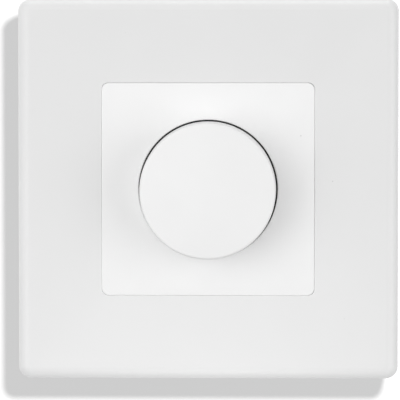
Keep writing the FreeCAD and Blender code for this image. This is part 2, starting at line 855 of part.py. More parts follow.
def short_ribs():
    ribs = []
    for side in (-1, 1):
        x = side * short_rib_x
        low = (x - short_rib_width / 2, power_board_back_y, short_rib_z)
        high = (x + short_rib_width / 2, base_y + overlap, short_rib_z + short_rib_depth)
        ribs.append(block(low, high))
    return ribs


def drafted_barrel(radius, flat, draft, front, back):
    """Barrel that narrows by draft all round from its front to its back."""
    cone = Part.makeCone(radius, radius - draft, back - front, Vector(0, front, 0), Vector(0, 1, 0))
    corners = [
        Vector(-flat, front, -radius),
        Vector(flat, front, -radius),
        Vector(flat - draft, back, -radius),
        Vector(draft - flat, back, -radius),
    ]
    wedge = Part.Face(Part.makePolygon(corners + corners[:1])).extrude(Vector(0, 0, 2 * radius))
    return cone.common(wedge)


def make_housing_rear():
    body = drafted_barrel(housing_r, housing_flat, housing_draft, flange_depth, housing_depth)
    body = body.makeFillet(housing_edge_r, edges_in_plane(body, housing_depth))
    front = flange_depth - beyond
    hollow = barrel(housing_r - housing_wall, housing_flat - housing_wall, front, base_y)
    posts = [rod(post_r, front, base_y + overlap, x, z) for x, z in at_corners(post_x, post_z)]
    body = body.cut(cut_all(hollow, posts + long_ribs(0) + short_ribs()))
    half = block_width / 2 + block_gap
    recess_low = (-half, block_step_y - block_gap, -housing_r - beyond)
    recess_high = (half, block_back + beyond, block_top + block_gap)
    tools = [block(recess_low, recess_high)]
    for x, z in at_corners(post_x, post_z):
        pilot_r = housing_screw_r + thread_gap
        tools.append(rod(pilot_r, flange_depth - beyond, flange_depth + pilot_depth, x, z))
    return cut_all(body, tools + vents())


def vents():
    slots = []
    end_r = vent_width * vent_round_share
    for i in range(vent_count):
        x = (i - (vent_count - 1) / 2) * vent_pitch
        slots.append(slab(vent_width, vent_length, end_r, base_y - beyond, housing_depth + beyond, x, vent_z))
    return slots


def make_housing_screws():
    screws = []
    for x, z in at_corners(post_x, post_z):
        head = pan_head(housing_screw_head_r, housing_screw_head, -ring_wall - housing_screw_head, x, z)
        shank = rod(housing_screw_r, -ring_wall, -ring_wall + housing_screw_length, x, z)
        screws.append(fuse_all(head, [shank]))
    return Part.makeCompound(screws)


def board_blank(front, wall):
    back = front + wall
    body = barrel(board_r, board_flat, front, back)
    notch_r = post_r + board_notch
    posts = at_corners(post_x, post_z)
    return cut_all(body, [rod(notch_r, front - beyond, back + beyond, x, z) for x, z in posts])


def make_control_board():
    body = board_blank(control_board_y, control_board_wall)
    front = control_board_y - beyond
    back = control_board_y + control_board_wall + beyond
    return cut_all(body, [rod(pin_r + pin_hole_gap, front, back, x, z) for x, z in pin_places()])


def make_power_board():
    body = board_blank(power_board_front, power_board_wall)
    body = cut_all(body, long_ribs(board_notch))
    holes = []
    half = cage_tail_half + cage_tail_gap
    for x in pole_places():
        low = (x - half, power_board_front - beyond, cage_window_top - cage_tail_gap)
        high = (x + half, power_board_back_y + beyond, cage_window_top + cage_tail_wall + cage_tail_gap)
        holes.append(block(low, high))
    return cut_all(body, holes)


def pole_places():
    return [(i - (poles - 1) / 2) * pole_pitch for i in range(poles)]


def on_control_board(size, place, corner_r, lift=0.0):
    front = control_board_y + control_board_wall + lift
    return slab(size[0], size[1], corner_r, front, front + size[2], place[0], place[1])


def make_microcontroller():
    return on_control_board(chip_size, chip_place, chip_corner_r)


def make_radio_module():
    return on_control_board(radio_size, radio_place, radio_corner_r)


def make_radio_shield():
    width, height, depth = shield_size
    can = on_control_board(shield_size, shield_place, shield_corner_r, radio_size[2])
    inside = (width - 2 * shield_wall, height - 2 * shield_wall, depth - shield_wall)
    inside_r = shield_corner_r - shield_wall
    return can.cut(on_control_board(inside, shield_place, inside_r, radio_size[2]))


def make_board_connector():
    width, height = connector_size
    x, z = connector_place
    front = control_board_y + control_board_wall
    plug = slab(width, height, connector_corner_r, front, front + plug_height, x, z)
    lip = 2 * plug_lip
    socket = slab(width - lip, height - lip, connector_corner_r, front + plug_height, power_board_front, x, z)
    return fuse_all(plug, [socket])


def make_choke_core():
    x, z = choke_place
    front = power_board_front - choke_height + winding_wall
    core = tube(choke_core_r, choke_hole_r, front, power_board_front - winding_wall, x, z)
    return core.makeFillet(core_round, [e for e in core.Edges if not runs_along_y(e)])


def make_choke_winding():
    x, z = choke_place
    front = power_board_front - choke_height
    coil = tube(choke_core_r + winding_wall, choke_hole_r - winding_wall, front, power_board_front, x, z)
    wall = winding_wall - winding_slack
    hollow_front = front + wall
    hollow_back = power_board_front - wall
    hollow = tube(choke_core_r + winding_slack, choke_hole_r - winding_slack, hollow_front, hollow_back, x, z)
    reach = 2 * choke_core_r
    half = math.radians(winding_gap_deg / 2)
    start = Vector(x, front - beyond, z)
    wedge_points = [
        start,
        start + Vector(reach * math.cos(half), 0, reach * math.sin(half)),
        start + Vector(reach * math.cos(half), 0, -reach * math.sin(half)),
    ]
    wedge = Part.Face(Part.makePolygon(wedge_points + wedge_points[:1]))
    return coil.cut(hollow).cut(wedge.extrude(Vector(0, choke_height + 2 * beyond, 0)))


def make_film_capacitor():
    width, height, depth = film_size
    front = power_board_front - depth
    body = slab(width, height, film_corner_r, front, power_board_front, *film_place)
    return body.makeFillet(film_edge_r, edges_in_plane(body, front))


def make_bulk_capacitor():
    x, z = bulk_place
    front = power_board_front - bulk_height
    body = rod(bulk_r, front, power_board_front, x, z)
    body = body.makeFillet(bulk_edge_r, edges_in_plane(body, front))
    start, end, depth = bulk_groove
    groove = tube(bulk_r + beyond, bulk_r - depth, power_board_front - start, power_board_front - end, x, z)
    return body.cut(groove)


def make_fuse():
    x, z = fuse_place
    front = power_board_front - fuse_height
    body = rod(fuse_r, front, power_board_front, x, z)
    return body.makeFillet(fuse_edge_r, edges_in_plane(body, front))


def make_heat_plate():
    width, height = sink_size[:2]
    return slab(width, height, sink_corner_r, sink_front_y, base_y, 0, sink_z)


def make_insulating_sheet():
    width, height = sheet_size[:2]
    return slab(width, height, sheet_corner_r, transistor_back_y, sink_front_y, 0, sheet_z)


def make_mosfets():
    width, height = transistor_size[:2]
    front = transistor_front_y
    back = transistor_back_y
    solids = []
    for side in (-1, 1):
        centre = side * transistor_x
        case = slab(width, height, transistor_corner_r, front, back, centre, transistor_z)
        places = [centre + lead_pitch * i for i in (-1, 0, 1)]
        leads = [bent_lead(x, transistor_z - height / 2, back - lead_place) for x in places]
        solids.append(fuse_all(case, leads))
    return Part.makeCompound(solids)


def bent_lead(x, root_z, y):
    """Lead that leaves a case downwards at root_z and turns to the power board."""
    bend_z = root_z - lead_reach
    path = [(root_z + overlap, y), (bend_z, y), (bend_z, power_board_back_y)]
    lead = strip(path, lead_wall, -lead_width / 2, lead_width / 2)
    lead.rotate(Vector(0, 0, 0), Vector(0, 1, 0), -90)
    lead.translate(Vector(x, 0, 0))
    return lead


def make_terminal_block():
    height = block_top - block_bottom
    body = slab(block_width, height, block_corner_r, block_step_y, block_back, 0, block_top - height / 2)
    body = body.makeFillet(block_edge_r, edges_in_plane(body, block_back))
    height = lip_top - lip_bottom
    lip_z = lip_top - height / 2
    lip = slab(lip_width, height, lip_corner_r, power_board_back_y, block_step_y, 0, lip_z)
    body = fuse_all(body, [lip])
    for x in pole_places():
        body = cut_all(body, pole_tools(x))
    return body


def pole_tools(x):
    """Pocket for the cage, entry for the wire with its mouth, and well of the screw."""
    pocket_low = (x - pocket_half, power_board_back_y - beyond, pocket_bottom)
    pocket = block(pocket_low, (x + pocket_half, pocket_back, pocket_top))
    entry = rod(entry_r, pocket_back - beyond, block_back + beyond, x, entry_z)
    mouth_foot = Vector(x, block_back - entry_chamfer, entry_z)
    mouth = Part.makeCone(entry_r, entry_r + entry_chamfer, entry_chamfer, mouth_foot, Vector(0, 1, 0))
    well_foot = Vector(x, terminal_screw_y, block_bottom - beyond)
    well_length = pocket_bottom - block_bottom + overlap + beyond
    well = Part.makeCylinder(screw_well_r, well_length, well_foot)
    return [pocket, entry, mouth, well]


def make_terminal_clamps():
    half = pocket_half - cage_gap
    window_half = half - cage_wall
    hole_length = cage_window_bottom - pocket_bottom + overlap + beyond
    cages = []
    for x in pole_places():
        low = (x - half, cage_front, pocket_bottom + cage_gap)
        cage = block(low, (x + half, pocket_back - cage_gap, pocket_top - cage_gap))
        window_low = (x - window_half, cage_front - beyond, cage_window_bottom)
        window = block(window_low, (x + window_half, pocket_back, cage_window_top))
        tail_low = (x - cage_tail_half, cage_tail_front, cage_window_top)
        tail_high = (x + cage_tail_half, cage_front + overlap, cage_window_top + cage_tail_wall)
        hole_foot = Vector(x, terminal_screw_y, pocket_bottom - beyond)
        hole = Part.makeCylinder(terminal_screw_r + thread_gap, hole_length, hole_foot)
        cages.append(fuse_all(cage.cut(window), [block(tail_low, tail_high)]).cut(hole))
    return Part.makeCompound(cages)


def make_terminal_screws():
    foot_z = block_bottom + terminal_screw_sunk
    shank_z = foot_z + terminal_screw_head
    slot_z = foot_z + terminal_screw_head * screw_slot_share
    half = terminal_slot_width / 2
    screws = []
    for x in pole_places():
        foot = Vector(x, terminal_screw_y, foot_z)
        head = Part.makeCylinder(terminal_screw_head_r, terminal_screw_head, foot)
        slot_low = (x - terminal_screw_head_r, terminal_screw_y - half, foot_z - beyond)
        slot = block(slot_low, (x + terminal_screw_head_r, terminal_screw_y + half, slot_z))
        shank_foot = Vector(x, terminal_screw_y, shank_z)
        shank = Part.makeCylinder(terminal_screw_r, cage_window_bottom - shank_z, shank_foot)
        screws.append(fuse_all(head.cut(slot), [shank]))
    return Part.makeCompound(screws)


claw_right = make_claw()

nodes = {
    "frame": make_frame(),
    "centre_plate": make_centre_plate(),
    "knob": make_knob(),
    "knob_clip": make_knob_clip(),
    "shaft_nut": make_shaft_nut(),
    "nut_washer": make_nut_washer(),
    "encoder_bush": make_encoder_bush(),
    "encoder_strap": make_encoder_strap(),
    "encoder_body": make_encoder_body(),
    "encoder_shaft": make_encoder_shaft(),
    "encoder_rotor": make_encoder_rotor(),
    "detent_spring": make_detent_spring(),
    "encoder_pins": make_encoder_pins(),
    "push_plunger": make_push_plunger(),
    "push_dome": make_push_dome(),
    "support_ring": make_support_ring(),
    "claw_right": claw_right,
    "claw_left": mirrored_left(claw_right),
    "claw_screws": make_claw_screws(),
    "housing_front": make_housing_front(),
    "housing_rear": make_housing_rear(),
    "housing_screws": make_housing_screws(),
    "control_board": make_control_board(),
    "microcontroller": make_microcontroller(),
    "radio_module": make_radio_module(),
    "radio_shield": make_radio_shield(),
    "board_connector": make_board_connector(),
    "power_board": make_power_board(),
    "choke_core": make_choke_core(),
    "choke_winding": make_choke_winding(),
    "film_capacitor": make_film_capacitor(),
    "bulk_capacitor": make_bulk_capacitor(),
    "fuse": make_fuse(),
    "heat_plate": make_heat_plate(),
    "insulating_sheet": make_insulating_sheet(),
    "mosfets": make_mosfets(),
    "terminal_block": make_terminal_block(),
    "terminal_clamps": make_terminal_clamps(),
    "terminal_screws": make_terminal_screws(),
}

os.makedirs("parts", exist_ok=True)
for name, shape in nodes.items():
    whole = shape.isValid() and len(shape.Solids) > 0
    print(f"{name}: {len(shape.Solids)} solids, {shape.Volume:.1f} mm3, {'sound' if whole else 'BROKEN'}")
    shape.exportStep(f"parts/{name}.step")
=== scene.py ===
import math

import bmesh
import bpy
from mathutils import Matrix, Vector


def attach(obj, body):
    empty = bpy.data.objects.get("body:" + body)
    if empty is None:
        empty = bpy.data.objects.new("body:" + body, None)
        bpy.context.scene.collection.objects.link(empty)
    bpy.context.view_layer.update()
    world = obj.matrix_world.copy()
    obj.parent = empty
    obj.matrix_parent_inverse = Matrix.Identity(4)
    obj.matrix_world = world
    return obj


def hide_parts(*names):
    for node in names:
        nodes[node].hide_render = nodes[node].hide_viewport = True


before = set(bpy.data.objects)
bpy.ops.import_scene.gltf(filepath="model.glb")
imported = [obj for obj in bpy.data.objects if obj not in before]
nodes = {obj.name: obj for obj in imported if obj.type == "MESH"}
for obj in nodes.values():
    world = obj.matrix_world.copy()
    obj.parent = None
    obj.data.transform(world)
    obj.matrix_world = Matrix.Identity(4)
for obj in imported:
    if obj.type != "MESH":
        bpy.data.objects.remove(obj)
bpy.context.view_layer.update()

mm = 0.001    # sizes below are in millimetres, Blender's are in metres
scene = bpy.context.scene


def toLinear(hexColour):
    levels = [int(hexColour[i:i + 2], 16) / 255 for i in (1, 3, 5)]
    linear = [v / 12.92 if v <= 0.04045 else ((v + 0.055) / 1.055) ** 2.4 for v in levels]
    return (*linear, 1.0)


def feed(tree, node, inputs):
    for name, value in inputs.items():
        if isinstance(value, bpy.types.Node):
            value = value.outputs[0]    # a node stands for its first output
        if isinstance(value, bpy.types.NodeSocket):
            tree.links.new(value, node.inputs[name])
        else:
            node.inputs[name].default_value = value


def addNode(tree, kind, inputs=None, stops=(), **settings):
    node = tree.nodes.new(kind)
    for name, value in settings.items():
        setattr(node, name, value)
    feed(tree, node, inputs or {})
    for i, stop in enumerate(stops):    # a ramp has two
        node.color_ramp.elements[i].position, node.color_ramp.elements[i].color = stop
    return node


# What a finish has unless it says otherwise. Colours are sRGB and sizes are millimetres: cloud is the size
# of the slow change from colour to shade, grain the size of the surface's texture and relief its height,
# edge the rounding that catches light along a corner, spread how far the roughness wanders. Real grain,
# fibres and crystals are mostly finer than a pixel, so they are drawn as coarse as they need to be to show.
plainLook = {
    "stretch": (1, 1, 1), "spread": 0.04, "edge": 0.15, "edgeSamples": 6,
    "metallic": 0.0, "ior": 1.5, "coat": 0.0, "clear": 0.0,
    "cloudDetail": 3.0, "cloudSpan": (0.35, 0.65), "grainDetail": 2.0, "grainSpan": (0.3, 0.7),
}


def makeFinish(name, finish):
    look = {**plainLook, **finish}
    material = bpy.data.materials.new(name)
    material.use_nodes = True
    tree = material.node_tree
    tree.nodes.clear()
    spot = addNode(tree, "ShaderNodeTexCoord").outputs["Object"]
    drawn = addNode(tree, "ShaderNodeMapping", {"Vector": spot, "Scale": look["stretch"]})
    cloud = addNode(tree, "ShaderNodeTexNoise", {
        "Vector": drawn, "Scale": 1 / (look["cloud"] * mm), "Detail": look["cloudDetail"]})
    tones = zip(look["cloudSpan"], (toLinear(look["colour"]), toLinear(look["shade"])))
    colour = addNode(tree, "ShaderNodeValToRGB", {"Fac": cloud}, stops=tones).outputs[0]

    laidOver = []    # where each further colour shows, and the colour
    if "cells" in look:    # crystals, flakes or fibres, each a little lighter or darker
        cells = addNode(tree, "ShaderNodeTexVoronoi", {"Vector": drawn, "Scale": 1 / (look["cells"] * mm)})
        cell = addNode(tree, "ShaderNodeSeparateColor", {"Color": cells.outputs["Color"]})
        laidOver.append((cell, look["cellColour"]))
    if "specks" in look:    # dust shut in by the moulding
        s = look["specks"]
        radius = s["radius"] / s["pitch"]
        dots = addNode(tree, "ShaderNodeTexVoronoi", {"Vector": spot, "Scale": 1 / (s["pitch"] * mm)})
        dot = addNode(tree, "ShaderNodeMapRange", {
            "Value": dots.outputs["Distance"], "From Min": radius, "From Max": radius * s["fade"],
            "To Min": s["strength"], "To Max": 0.0})
        laidOver.append((dot, s["colour"]))
    if "hollow" in look:    # painted shade: the inside of a round well about the Y axis, drawn near black where the gap round the knob lies in shade
        s = look["hollow"]
        flat = addNode(tree, "ShaderNodeVectorMath", {0: spot, 1: (1, 0, 1)}, operation="MULTIPLY")
        away = addNode(tree, "ShaderNodeVectorMath", {0: flat}, operation="LENGTH").outputs["Value"]
        height = addNode(tree, "ShaderNodeSeparateXYZ", {"Vector": spot}).outputs["Y"]
        inWell = 1.0
        for measure, limit, side in (
                (away, s["radius"], "LESS_THAN"),
                (height, s["fromY"], "GREATER_THAN"),
                (height, s["toY"], "LESS_THAN")):
            kept = addNode(tree, "ShaderNodeMath", {0: measure, 1: limit * mm}, operation=side)
            inWell = addNode(tree, "ShaderNodeMath", {0: kept, 1: inWell}, operation="MULTIPLY")
        laidOver.append((inWell, s["colour"]))
    for share, over in laidOver:    # inputs 6 and 7 are the two colours
        colour = addNode(tree, "ShaderNodeMix", {0: share, 6: colour, 7: toLinear(over)},
                         data_type="RGBA").outputs[2]

    grain = addNode(tree, "ShaderNodeTexNoise", {
        "Vector": drawn, "Scale": 1 / (look["grain"] * mm), "Detail": look["grainDetail"]})
    roughness = addNode(tree, "ShaderNodeMapRange", {
        "Value": grain, "From Min": look["grainSpan"][0], "From Max": look["grainSpan"][1],
        "To Min": look["roughness"] - look["spread"], "To Max": look["roughness"] + look["spread"]})
    rounded = addNode(tree, "ShaderNodeBevel", {"Radius": look["edge"] * mm}, samples=look["edgeSamples"])
    relief = addNode(tree, "ShaderNodeBump", {
        "Distance": look["relief"] * mm, "Height": grain, "Normal": rounded})
    skin = addNode(tree, "ShaderNodeBsdfPrincipled", {
        "Base Color": colour, "Roughness": roughness, "Normal": relief, "Metallic": look["metallic"],
        "IOR": look["ior"], "Coat Weight": look["coat"], "Transmission Weight": look["clear"]})
    addNode(tree, "ShaderNodeOutputMaterial", {"Surface": skin})
    return material


whitePlastic = {    # what the three white mouldings share
    "cloud": 14.0, "grain": 0.55, "relief": 0.0022, "roughness": 0.42, "ior": 1.58, "edge": 0.06,
    "specks": {"pitch": 6.5, "radius": 0.1, "fade": 1.5, "strength": 0.6, "colour": "#A2A2A0"},
}

finishes = {
    # Satin face of a spark-eroded mould: an even white, a soft wide gloss and hardly any texture
    "polycarbonateMouldedWhite": {**whitePlastic, "colour": "#EDEDED", "shade": "#EBEBEB"},
    # The plate, of the same white; its well is painted near black, a painted shade so that the gap round the
    # knob reads near black
    "polycarbonateMouldedWhitePaintedWellShade": {
        **whitePlastic, "colour": "#ECECEC", "shade": "#EAEAEA",
        "hollow": {"radius": 14.62, "fromY": -8.42, "toY": -6.0, "colour": "#202122"}},
    # The same white plastic on the frame, drawn a shade darker than the insert's
    "polycarbonateMouldedPale": {**whitePlastic, "colour": "#D8D8D8", "shade": "#D7D7D7"},
    # Strip rolled thin and hardened: grey, with fine lines along its length
    "springSteelRolled": {
        "colour": "#A6A6A3", "shade": "#94959A", "cloud": 1.2, "grain": 0.2, "relief": 0.002,
        "roughness": 0.26, "metallic": 1.0, "stretch": (1, 1, 6)},
    # Zinc laid on by current: bright, bluish and slightly cloudy
    "steelZincPlated": {
        "colour": "#C6CACE", "shade": "#AEB3B9", "cloud": 1.6, "grain": 0.3, "relief": 0.003,
        "roughness": 0.27, "metallic": 1.0},
    # Hot-dip galvanised sheet, stamped: flat crystals of zinc that turn light and dark
    "steelGalvanisedStamped": {
        "colour": "#B7BBBE", "shade": "#AAAFB3", "cloud": 6.0, "cells": 1.5, "cellColour": "#C4C8CB",
        "grain": 0.45, "relief": 0.004, "roughness": 0.36, "spread": 0.08, "metallic": 1.0},
    # Zinc cast under pressure, then nickelled: bright with the faint ripple of the die
    "zincDieCastNickelled": {
        "colour": "#BDBCB8", "shade": "#ABAAA6", "cloud": 2.2, "grain": 0.5, "relief": 0.006,
        "roughness": 0.25, "metallic": 1.0},
    # Glass-filled polyamide straight from the mould: dull black with paler fibres near the skin
    "polyamideGlassFilledBlack": {
        "colour": "#1C1D1F", "shade": "#26282A", "cloud": 2.0, "cells": 0.45, "cellColour": "#2C2E30",
        "grain": 0.3, "relief": 0.008, "roughness": 0.5, "spread": 0.08},
    # Natural acetal, turned: milky, waxy, with turning marks round it
    "acetalNaturalTurned": {
        "colour": "#E6E3D8", "shade": "#DEDBCE", "cloud": 2.5, "grain": 0.25, "relief": 0.003,
        "roughness": 0.36, "stretch": (1, 4, 1)},
    # Grey acetal, moulded: smooth and slippery
    "acetalMouldedGrey": {
        "colour": "#6B6F73", "shade": "#62666A", "cloud": 2.5, "grain": 0.25, "relief": 0.003,
        "roughness": 0.38},
    # Flame-retardant polycarbonate from a coarse spark-eroded mould: dark, matt and finely pitted
    "polycarbonateSparkedDark": {
        "colour": "#303235", "shade": "#3A3C40", "cloud": 9.0, "grain": 0.42, "relief": 0.03,
        "roughness": 0.52, "spread": 0.1, "ior": 1.58, "edge": 0.25},
    # Glass cloth in epoxy under green lacquer: the weave shows as a faint check
    "glassEpoxyLacqueredGreen": {
        "colour": "#14512F", "shade": "#1D6A3E", "cloud": 3.5, "cells": 0.8, "cellColour": "#1A5C36",
        "grain": 0.5, "relief": 0.006, "roughness": 0.3},
    # Black epoxy pressed round a chip: matt, with pale filler grains
    "epoxyPressedBlack": {
        "colour": "#1A1B1D", "shade": "#232427", "cloud": 1.5, "cells": 0.3, "cellColour": "#2B2C2F",
        "grain": 0.2, "relief": 0.004, "roughness": 0.55},
    # Sheet dipped in tin: a pale mirror, a little wavy
    "tinHotDipped": {
        "colour": "#D3D4D2", "shade": "#C2C4C4", "cloud": 2.0, "grain": 0.8, "relief": 0.01,
        "roughness": 0.18, "metallic": 1.0},
    # Solder left by the wave: bright, with a soft wrinkled skin
    "solderWaved": {
        "colour": "#C4C6C8", "shade": "#B4B7BA", "cloud": 0.8, "grain": 0.3, "relief": 0.012,
        "roughness": 0.22, "metallic": 1.0},
    # Iron powder pressed to a ring and sprayed with epoxy: an even coat with orange peel
    "ironPowderSprayed": {
        "colour": "#55604B", "shade": "#4A553F", "cloud": 3.0, "grain": 0.6, "relief": 0.02,
        "roughness": 0.42},
    # Copper wire under clear enamel: warm, glossy and darker where the varnish is thick
    "copperEnamelled": {
        "colour": "#B0602F", "shade": "#93481F", "cloud": 1.0, "grain": 0.3, "relief": 0.003,
        "roughness": 0.3, "metallic": 1.0, "coat": 0.6},
    # Case of a film capacitor, moulded polypropylene filled with resin: plain ochre, soft gloss
    "polypropyleneMouldedOchre": {
        "colour": "#C79F2C", "shade": "#BC942A", "cloud": 4.0, "grain": 0.3, "relief": 0.004,
        "roughness": 0.4},
    # Polyester sleeve shrunk on a can: dark blue and glossy, drawn tight at the groove
    "polyesterShrunkBlue": {
        "colour": "#1C2A44", "shade": "#22324F", "cloud": 3.0, "grain": 1.2, "relief": 0.012,
        "roughness": 0.22},
    # Phenolic moulding of a fuse: deep brown, glossy with a slight flow pattern
    "phenolicMouldedBrown": {
        "colour": "#38231B", "shade": "#2D1B15", "cloud": 2.5, "grain": 0.4, "relief": 0.004,
        "roughness": 0.3},
    # Aluminium strip as rolled: pale, with long fine lines
    "aluminiumMillRolled": {
        "colour": "#C8CACC", "shade": "#B7BABD", "cloud": 1.2, "grain": 0.25, "relief": 0.004,
        "roughness": 0.34, "metallic": 1.0, "stretch": (0.12, 1, 1)},
    # Mica split into a sheet: amber, clear in places, with flake edges
    "micaSplit": {
        "colour": "#B99A5F", "shade": "#9C7C45", "cloud": 4.0, "cells": 1.8, "cellColour": "#C9AE78",
        "grain": 1.0, "relief": 0.006, "roughness": 0.2, "clear": 0.3},
    # Pale grey polyamide of the terminals: a dry satin skin, slightly mottled by the gate
    "polyamideMouldedGrey": {
        "colour": "#C4C6C5", "shade": "#BBBDBC", "cloud": 5.0, "grain": 0.4, "relief": 0.008,
        "roughness": 0.44, "edge": 0.2},
    # Nickel over brass, pressed: warm silver with drawn lines
    "brassNickelPlated": {
        "colour": "#CEC8B6", "shade": "#BDB59F", "cloud": 1.5, "grain": 0.3, "relief": 0.004,
        "roughness": 0.24, "metallic": 1.0},
}

materials = {name: makeFinish(name, finish) for name, finish in finishes.items()}
print("finishes made:", len(materials))

slotFinishes = {
    "frame_plastic": "polycarbonateMouldedPale",
    # the plate's white, with its well painted near black as shade
    "plate_plastic": "polycarbonateMouldedWhitePaintedWellShade",
    "knob_plastic": "polycarbonateMouldedWhite",
    "spring_steel": "springSteelRolled",
    "plated_steel": "steelZincPlated",
    "stamped_ring": "steelGalvanisedStamped",
    "diecast_zinc": "zincDieCastNickelled",
    "black_nylon": "polyamideGlassFilledBlack",
    "shaft_plastic": "acetalNaturalTurned",
    "plunger_plastic": "acetalMouldedGrey",
    "housing_plastic": "polycarbonateSparkedDark",
    "board": "glassEpoxyLacqueredGreen",
    "chip": "epoxyPressedBlack",
    "tinned_can": "tinHotDipped",
    "ferrite": "ironPowderSprayed",
    "copper_wire": "copperEnamelled",
    "film_box": "polypropyleneMouldedOchre",
    "can_sleeve": "polyesterShrunkBlue",
    "fuse_body": "phenolicMouldedBrown",
    "heat_aluminium": "aluminiumMillRolled",
    "mica_sheet": "micaSplit",
    "terminal_plastic": "polyamideMouldedGrey",
    "clamp_brass": "brassNickelPlated",
}
for node in nodes.values():
    for holder in node.material_slots:    # each comes named for its slot in the record
        holder.material = materials[slotFinishes[holder.material.name.split(".")[0]]]
print("finishes on the frame's nodes")


# Geometry Nodes. A tree's float inputs are lengths, and are given in millimetres.

def newTree(name, inputs):
    tree = bpy.data.node_groups.new(name, "GeometryNodeTree")
    tree.interface.new_socket("Geometry", in_out="INPUT", socket_type="NodeSocketGeometry")
    for label, kind in inputs.items():
        tree.interface.new_socket(label, in_out="INPUT", socket_type="NodeSocket" + kind)
    tree.interface.new_socket("Geometry", in_out="OUTPUT", socket_type="NodeSocketGeometry")
    return tree, addNode(tree, "NodeGroupInput").outputs


def endTree(tree, shape, given):    # instances made real, because the export drops them
    real = addNode(tree, "GeometryNodeRealizeInstances", {"Geometry": shape})
    painted = addNode(tree, "GeometryNodeSetMaterial", {"Geometry": real, "Material": given["Finish"]})
    addNode(tree, "NodeGroupOutput", {"Geometry": painted})
    return tree


meshCare = {"weld": 0.0005, "sliver": 0.0002, "smoothUpTo": 35.0}    # the last in degrees


def closeShape(shape):
    work = bmesh.new()
    work.from_mesh(shape)
    bmesh.ops.remove_doubles(work, verts=work.verts, dist=meshCare["weld"] * mm)
    bmesh.ops.dissolve_degenerate(work, edges=work.edges, dist=meshCare["sliver"] * mm)
    bmesh.ops.recalc_face_normals(work, faces=work.faces)
    steepest = math.radians(meshCare["smoothUpTo"])
    for edge in work.edges:
        edge.smooth = len(edge.link_faces) == 2 and edge.calc_face_angle() < steepest
    for face in work.faces:
        face.smooth = True
    work.to_mesh(shape)
    work.free()


def grow(name, tree, values, places):
    mesh = bpy.data.meshes.new(name + "Places")
    mesh.from_pydata([Vector(place) * mm for place in places], [], [])
    host = bpy.data.objects.new(name + "Places", mesh)
    scene.collection.objects.link(host)
    modifier = host.modifiers.new("grow", "NODES")
    modifier.node_group = tree
    for socket in tree.interface.items_tree:
        if socket.in_out == "INPUT" and socket.name in values:
            length = socket.socket_type == "NodeSocketFloat"
            modifier[socket.identifier] = values[socket.name] * mm if length else values[socket.name]
    shape = bpy.data.meshes.new_from_object(host.evaluated_get(bpy.context.evaluated_depsgraph_get()))
    host.modifiers.remove(modifier)
    bpy.data.objects.remove(host)
    closeShape(shape)
    shape.name = name
    piece = bpy.data.objects.new(name, shape)
    scene.collection.objects.link(piece)
    return piece


filletSteps = 6    # edges across each rounding of a turned outline


def turn(tree, corners, segments, roundings):    # one rounding for each corner
    line = addNode(tree, "GeometryNodeMeshLine", {"Count": len(corners)})
    path = addNode(tree, "GeometryNodeMeshToCurve", {"Mesh": line})
    index = addNode(tree, "GeometryNodeInputIndex")
    spots = [addNode(tree, "ShaderNodeCombineXYZ", {"X": radius, "Y": height}) for radius, height in corners]
    radii = [value * mm if isinstance(value, (int, float)) else value for value in roundings]
    picked = []
    for kind, values in (("VECTOR", spots), ("FLOAT", radii)):
        switch = addNode(tree, "GeometryNodeIndexSwitch", {"Index": index}, data_type=kind)
        for _ in values[2:]:    # it starts with two items
            switch.index_switch_items.new()
        feed(tree, switch, {str(i): value for i, value in enumerate(values)})
        picked.append(switch)
    outline = addNode(tree, "GeometryNodeSetPosition", {"Geometry": path, "Position": picked[0]})
    rounded = addNode(tree, "GeometryNodeFilletCurve", {
        "Curve": outline, "Count": filletSteps, "Radius": picked[1], "Limit Radius": True}, mode="POLY")
    # the sweep goes round a 1 mm circle and turns the outline's Y to -Z
    moved = addNode(tree, "GeometryNodeTransform", {
        "Geometry": rounded, "Translation": (-mm, 0, 0), "Scale": (1, -1, 1)})
    circle = addNode(tree, "GeometryNodeCurvePrimitiveCircle", {"Resolution": segments, "Radius": mm})
    return addNode(tree, "GeometryNodeCurveToMesh", {"Curve": circle, "Profile Curve": moved})


knobShape = {
    "frontY": -18.3, "rimY": -7.7, "frontRadius": 14.11, "rimRadius": 14.27, "wall": 1.6, "face": 1.8,
    "bossRadius": 4.5, "bossEndY": -11.0, "boreRadius": 3.05, "boreEndY": -16.4,
    "frontRounding": 0.5, "rimRounding": 0.15, "insideRounding": 0.4, "footRounding": 0.3,
    "ribs": 6, "ribWall": 0.8, "ribDepth": 2.2, "segments": 160,
}


